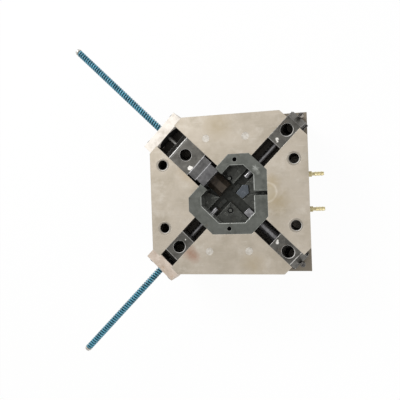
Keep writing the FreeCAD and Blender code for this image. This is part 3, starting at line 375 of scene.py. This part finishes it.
# Return pins: pale discs, scuffed where the other half strikes them.
return_steel = steel(
    "scuffed return pin steel", "#d8d2c8", "#b3ab9f", "#efebe4", "#f6f3ee", 0.34, patch=7.0,
    metallic=0.55,
)
# Nitrided ejector pins: dark grey under oil.
pin_dark = steel(
    "oiled ejector pin steel", "#5c5d58", "#434440", "#74756f", "#a5a69f", 0.3, patch=5.0, metallic=0.8,
)
# Guide bushes: ground flush with the plate and nearly its colour, painted dark as shade inside the bore.
bush_face = steel(
    "ground bush steel", "#aaa193", "#958c7f", "#bfb6a8", "#ece7df", 0.36, patch=14.0, metallic=0.65,
    edge_mm=1.4, deep_below=(268.0, "#1b1a19"),
)
# Hardened ejector bushes: dark grey with a bright mouth.
bush_steel = steel(
    "hardened bush steel", "#6e6a65", "#4a4743", "#8d8983", "#e3dfd8", 0.3, patch=9.0, metallic=0.8,
    edge_mm=1.0,
)
# Blackened socket screws: dark, with a dull sheen on the heads.
screw_black = steel(
    "blackened screw steel", "#4a4d52", "#303236", "#6a6d72", "#a9abad", 0.4, patch=6.0, metallic=0.7,
    rust="#5d4a3a",
)
# Stop screws: the black is worn to brown-grey, pale on one head.
stop_screw = steel(
    "worn stop screw steel", "#615e5b", "#454341", "#8a8782", "#d5d5d2", 0.36, patch=6.0, metallic=0.75,
    rust="#6b523b", spots=[("#a9a39a", in_mm("tr", 263.5, -3, 255), 4.2, 3.0)],
)
# Zinc-plated bracket: nearly white and matt, with a shaded inner face.
bracket_pale = steel(
    "pale zinc bracket", "#e9e2d9", "#c8bfb3", "#ece6de", "#f7f4ef", 0.5, patch=22.0, metallic=0.25,
    spots=[("#1b1a19", in_mm("tl", 205, 0, 235), 37.0, 1.0)],
)
# Older zinc plating: beige and blotched, with a shaded inner face.
bracket_beige = steel(
    "aged zinc bracket", "#cabbad", "#b3a291", "#e6dacd", "#f6efe7", 0.5, patch=22.0, metallic=0.25,
    rust="#a98763", spots=[("#1b1a19", in_mm("bl", 222, 0, 235), 35.0, 1.0)],
)
# Zinc-plated washers: pale, with a soft shine.
washer_pale = steel(
    "plain washer zinc", "#e4ddd2", "#c3bbae", "#f3efe8", "#ffffff", 0.4, patch=8.0, metallic=0.4,
)
# Chamfers rubbed bright by the pins that go in.
# Painted highlights on the bores' chamfers, laid on as bright rings.
chamfer_highlight = steel(
    "painted chamfer highlight steel", "#dcdad6", "#bdbab5", "#f0efec", "#ffffff", 0.26, patch=9.0,
    metallic=0.6,
)
# Turned brass: yellow, pale where the light takes the barbs.
brass = steel(
    "turned brass", "#eadfb2", "#b59f66", "#efe3b4", "#fff6d6", 0.28, patch=5.0, metallic=0.9,
    edge_mm=0.4,
)
# Spring wire enamel: sky blue over steel for the slide springs, ochre for the return springs.
spring_blue = enamel("blue spring enamel", "#4a94ac", "#1c4656", "#b2d8e2")
spring_yellow = enamel("yellow spring enamel", "#d2a52c", "#8f6c18", "#e8c868")

# Slides: milled and ground tool steel, each with a daub of white marking paint on its top, and painted
# dark as shade low on their sides.
DAUBS = {
    "tl": [(116, 17, 5.6, 5.0), (113, 13, 3.0, 4.0)],
    "tr": [(182, 2, 3.4, 9.0), (178, -3, 2.4, 8.0)],
    "br": [(171, -2, 3.8, 7.0), (168, 2, 2.2, 6.0)],
    "bl": [(158, 0, 1.6, 1.5)],
}
# Lines across a slide at its edges, most of them bright as painted highlights: reach, half length, colour
# and width.
EDGE_LINES = {
    "tl": [
        (174.6, 34, "#f0efed", 1.9),
        (192.0, 34, "#dedcd9", 1.7),
        (170.5, 30, "#a5a3a0", 0.9),
        (109.9, 34, "#a09e9b", 1.2),
    ],
    "tr": [(240.2, 20, "#5f5d59", 1.0), (170.8, 20, "#a5a3a0", 1.2)],
    "br": [(229.2, 20, "#d9d6d1", 1.6), (162.8, 20, "#a5a3a0", 1.2)],
    "bl": [(211.2, 20, "#c9c6c2", 1.4), (148.3, 20, "#b5b3b0", 1.2)],
}
slide_steel = {}
for corner, marks in DAUBS.items():
    edge_lines = [
        (tint, in_mm(corner, reach, -half), in_mm(corner, reach, half), width)
        for reach, half, tint, width in EDGE_LINES[corner]
    ]
    slide_steel[corner] = steel(
        f"slide steel {corner}", "#676560", "#494743", "#807d77", "#dddbd7", 0.36, patch=22.0,
        metallic=0.8, rust="#6d5b49", lines=(0.7, 0.7, 1.0),
        spots=[("#f4f1ea", in_mm(corner, x, y), r, ragged) for x, y, r, ragged in marks],
        edge_mm=1.6, deep_below=(242.0, "#33312f"), strokes=edge_lines,
    )

FINISH = {
    "core_plate": plate_ground, "bottom_clamp_plate": plate_milled,
    "spacer_block_left": plate_milled, "spacer_block_right": plate_milled,
    "support_plate": plate_milled, "ejector_plate": plate_milled,
    "ejector_retainer_plate": plate_milled, "support_pillars": plate_milled,
    "cavity_frame": cavity_hard, "cavity_base": base_dark,
    "core_block_top": block_hard, "core_block_right": block_hard,
    "core_block_bottom": block_hard, "core_block_left": block_hard,
    "gate_insert": gate_bright, "eye_core_pins": eye_steel, "guide_bushes": bush_face,
    "clamp_screws": screw_black, "frame_screws": screw_black, "slide_stop_screws": stop_screw,
    "stop_buttons": pin_steel, "ejector_leader_pins": pin_steel, "hose_nipples": brass,
    "water_plug": brass, "spring_bracket_tl": bracket_pale, "spring_bracket_bl": bracket_beige,
    "bracket_screws_tl": screw_black, "bracket_screws_bl": screw_black,
    "slide_tl": slide_steel["tl"], "slide_tl_insert": insert_steel, "slide_tl_nose": nose_steel,
    "slide_tl_core": core_rusty, "pull_rod_tl": rod_steel, "spring_washer_tl": washer_pale,
    "slide_tr": slide_steel["tr"], "slide_tr_core": core_bright,
    "slide_br": slide_steel["br"], "slide_br_core": core_bright,
    "slide_bl": slide_steel["bl"], "slide_bl_core": core_bright,
    "pull_rod_bl": rod_steel, "spring_washer_bl": washer_pale,
    "return_pins": return_steel, "ejector_pins": pin_dark, "runner_ejector_pin": pin_dark,
    "ejector_guide_bushes": bush_steel, "ejector_plate_screws": screw_black,
    "slide_spring_tl": spring_blue, "slide_spring_bl": spring_blue, "return_springs": spring_yellow,
}
for name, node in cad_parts.items():
    for holder in node.material_slots:
        holder.material = FINISH[name]


# ---- coiled springs and bore rims ---------------------------------------------------------------------

UP = Vector((0, 0, 1))
WIRE_SHARE = 0.6  # how much of a spring's pitch the wire fills


def coil(mesh, foot, along, across, length, outer, bore, pitch, start=0.0, stop=None, slim=0.0):
    """Winds a flat-wire spring into a bmesh, ground flat at its two ends.

    start and stop keep only a stretch of it, and slim thins the wire so that two stretches nest.
    """
    stop = length if stop is None else stop
    thick = (outer - bore) / 2
    mid = (outer + bore) / 4
    wire = pitch * WIRE_SHARE
    third = along.cross(across)
    steps_a_turn, around = 20, 12
    turns = (length - wire) / pitch
    total = int(turns * steps_a_turn)
    rings = []
    for k in range(total + 1):
        height = wire / 2 + (length - wire) * k / total
        if height < start - wire / 2 or height > stop + wire / 2:
            continue
        a = 2 * math.pi * k / steps_a_turn
        radial = across * math.cos(a) + third * math.sin(a)
        ring = []
        for j in range(around):
            b = 2 * math.pi * j / around
            c, s = math.cos(b), math.sin(b)
            out = mid + (thick / 2 - slim) * math.copysign(abs(c) ** 0.6, c)
            up = height + wire / 2 * math.copysign(abs(s) ** 0.7, s)
            up = min(max(up, 0.0), length)
            ring.append(mesh.verts.new(foot + (radial * out + along * up) * MM))
        rings.append(ring)
    for one, two in zip(rings, rings[1:]):
        for j in range(around):
            mesh.faces.new((one[j], one[j - 1], two[j - 1], two[j]))
    mesh.faces.new(rings[0])
    mesh.faces.new(list(reversed(rings[-1])))


def finish_piece(name, mesh, body, material, slot, *nodes):
    """Turns a bmesh into a smooth piece that rides on a body and stands for CAD nodes."""
    bmesh.ops.recalc_face_normals(mesh, faces=mesh.faces)
    data = bpy.data.meshes.new(name)
    mesh.to_mesh(data)
    mesh.free()
    data.polygons.foreach_set("use_smooth", [True] * len(data.polygons))
    piece = bpy.data.objects.new(name, data)
    bpy.context.scene.collection.objects.link(piece)
    data.materials.append(material)
    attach(piece, body)
    if nodes:
        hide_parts(*nodes)
    return piece


def chamfer_highlight_ring(name, body, centre, radius, lean, light, widest):
    """The painted highlight on the chamfer of a bore's mouth: a thin bright ring, widest on the lit side,
    just proud of the face.
    """
    mesh = bmesh.new()
    steps = 64
    inner, outer = [], []
    for k in range(steps):
        a = 2 * math.pi * k / steps
        wide = 0.35 + widest * max(0.0, math.cos(a - math.radians(light))) ** 1.5
        stretch = 1 / math.cos(math.radians(PIN_LEAN)) if lean is not None else 1.0
        away = Vector((math.cos(a), math.sin(a), 0))
        if lean is not None:
            along = Vector((math.cos(math.radians(lean)), math.sin(math.radians(lean)), 0))
            away = away + along * (away.dot(along) * (stretch - 1))
        inner.append(mesh.verts.new(centre + away * (radius + 0.05) * MM))
        outer.append(mesh.verts.new(centre + away * (radius + wide) * MM + UP * 0.03 * MM))
    for k in range(steps):
        mesh.faces.new((inner[k - 1], inner[k], outer[k], outer[k - 1]))
    finish_piece(name, mesh, body, chamfer_highlight, "bright_steel")


PIN_LEAN = 20.0
PIN_RADIUS = 15.0
BRIGHT_SIDE = -45  # the side of a bore, in degrees, where its chamfer shines
SLIDE_TOP = 269.9
RIM_PROUD = 0.03  # a rim lies just above its face, under the parting face
HOLE_REACH = {"tl": 147.0, "tr": 213.6, "br": 204.2, "bl": 182.2}
# Painted highlights on the chamfers of the slides' pin holes and of the guide bores.
for corner, widest in (("tl", 0.5), ("tr", 1.7), ("br", 1.7), ("bl", 1.5)):
    centre = outward(corner, HOLE_REACH[corner], 0, SLIDE_TOP + RIM_PROUD)
    name, body = f"pin_hole_rim_{corner}", f"slide_{corner}_unit"
    chamfer_highlight_ring(name, body, centre, PIN_RADIUS, CORNER[corner], BRIGHT_SIDE, widest)
GUIDE_BORES = ((166, 81), (166, -81), (-166, 81), (-166, -81))
GUIDE_RADIUS = 12.5
for number, (x, y) in enumerate(GUIDE_BORES, 1):
    centre = Vector((x, y, 269.96)) * MM
    chamfer_highlight_ring(f"guide_bore_rim_{number}", "mould", centre, GUIDE_RADIUS, None, BRIGHT_SIDE, 1.3)
SPRING_OUTER, SPRING_BORE = 18.0, 11.2
SPRING_FOOT = {"tl": 245.0, "bl": 261.0}
SPRING_TIP = 577.0
SPRING_AXIS = 236.0
SPRING_PITCH = 7.2
TL_STROKE = 24.5
RETURN_PINS = [(x, y) for x in (-50, 50) for y in (-142.5, 142.5)]
RETURN_FOOT, RETURN_TOP = 80.0, 160.0
RETURN_OUTER, RETURN_BORE, RETURN_PITCH = 32.0, 19.0, 10.0

# The upper left spring lengthens, so its outer half runs with the slide's rod.
length = SPRING_TIP - SPRING_FOOT["tl"]
half = length / 2
axis_tl = outward("tl", 1).normalized()
for name, body, start, stop, slim in (
    ("coil_spring_tl_inner", "mould", 0, half + TL_STROKE / 2, 0.0),
    ("coil_spring_tl_outer", "slide_tl_unit", half - TL_STROKE / 2, length, 0.06),
):
    wound = bmesh.new()
    foot = outward("tl", SPRING_FOOT["tl"], 0, SPRING_AXIS)
    coil(wound, foot, axis_tl, UP, length, SPRING_OUTER, SPRING_BORE, SPRING_PITCH, start, stop, slim)
    finish_piece(name, wound, body, spring_blue, "blue_spring_steel", "slide_spring_tl")

# The lower left spring, which its slide presses shorter as it goes in, is wound at full length on a mesh
# of its own.
axis_bl = outward("bl", 1).normalized()
foot = outward("bl", SPRING_FOOT["bl"], 0, SPRING_AXIS)
length = SPRING_TIP - SPRING_FOOT["bl"]
wound = bmesh.new()
coil(wound, foot, axis_bl, UP, length, SPRING_OUTER, SPRING_BORE, SPRING_PITCH)
piece = finish_piece(
    "coil_spring_bl", wound, "mould", spring_blue, "blue_spring_steel", "slide_spring_bl"
)
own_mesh(piece)

# Four return springs round the return pins, which the ejector stroke presses shorter, wound at full length
# on one mesh of its own.
wound = bmesh.new()
return_length = RETURN_TOP - RETURN_FOOT
sideways = Vector((1, 0, 0))
for x, y in RETURN_PINS:
    foot = Vector((x, y, RETURN_FOOT)) * MM
    coil(wound, foot, UP, sideways, return_length, RETURN_OUTER, RETURN_BORE, RETURN_PITCH)
piece = finish_piece(
    "return_coil_springs", wound, "mould", spring_yellow, "yellow_spring_steel", "return_springs"
)
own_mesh(piece)


# ---- floor, light and camera --------------------------------------------------------------------------

# White backing paper, shown white and still darkened a little by the shadow.
backing, tree, shader, place = blank("white floor paper")
rays = add(tree, "ShaderNodeLightPath").outputs
shown = add(tree, "ShaderNodeMath", {0: rays[0], 1: rays["Is Glossy Ray"]}, operation="MAXIMUM").outputs[0]
tooth = cloud(tree, place, 1.2, 0.3, 0.7)
paper = paint(tree, "#f6f5f3", [("#f1f0ee", tooth, 1.0)])
tree.links.new(paper, shader.inputs["Base Color"])
shader.inputs["Roughness"].default_value = 0.8
glow = add(tree, "ShaderNodeEmission", {"Strength": 1.0, "Color": (1, 1, 1, 1)}).outputs[0]
veil = add(tree, "ShaderNodeMath", {0: shown, 1: 0.95}, operation="MULTIPLY").outputs[0]
blend = add(tree, "ShaderNodeMixShader", {0: veil, 1: shader.outputs[0], 2: glow}).outputs[0]
tree.links.new(blend, tree.nodes["Material Output"].inputs["Surface"])

floor_mesh = bmesh.new()
bmesh.ops.create_grid(floor_mesh, x_segments=2, y_segments=2, size=30.0)
data = bpy.data.meshes.new("floor")
floor_mesh.to_mesh(data)
floor_mesh.free()
floor = bpy.data.objects.new("floor", data)
bpy.context.scene.collection.objects.link(floor)
data.materials.append(backing)

world = bpy.data.worlds.new("studio")
bpy.context.scene.world = world
world.use_nodes = True
tree = world.node_tree
rays = add(tree, "ShaderNodeLightPath").outputs
level = add(tree, "ShaderNodeMapRange", {0: rays["Is Camera Ray"], 3: 0.62, 4: 1.0}).outputs[0]
tree.links.new(level, tree.nodes["Background"].inputs["Strength"])
tree.nodes["Background"].inputs["Color"].default_value = (1, 1, 1, 1)

for name, place, aim, size, power in (
    ("key lamp", (-1.1, 1.2, 1.9), (0, 0, 0.25), 0.9, 26.0),
    ("fill lamp", (1.4, -0.9, 1.6), (0, 0, 0.2), 1.2, 12.0),
):
    lamp = bpy.data.lights.new(name, "AREA")
    lamp.energy = power
    lamp.size = size
    stand = bpy.data.objects.new(name, lamp)
    bpy.context.scene.collection.objects.link(stand)
    stand.location = place
    stand.rotation_euler = (Vector(aim) - Vector(place)).to_track_quat("-Z", "Y").to_euler()

CAMERA_PLACE = Vector((0.1989, -0.0176, 1.4107))
CAMERA_TURNS = (0.035307, -0.231657, -0.004935)  # about Z, then Y, then X, in radians
LENS_MM, SENSOR_MM = 41.68, 36.0

lens = bpy.data.cameras.new("camera")
lens.lens = LENS_MM
lens.sensor_width = SENSOR_MM
camera = bpy.data.objects.new("camera", lens)
bpy.context.scene.collection.objects.link(camera)
turn = Matrix.Identity(3)
for angle, about in zip(CAMERA_TURNS, "ZYX"):
    turn = turn @ Matrix.Rotation(angle, 3, about)
camera.matrix_world = Matrix.Translation(CAMERA_PLACE) @ turn.transposed().to_4x4()
bpy.context.scene.camera = camera
bpy.context.scene.view_settings.view_transform = "Standard"
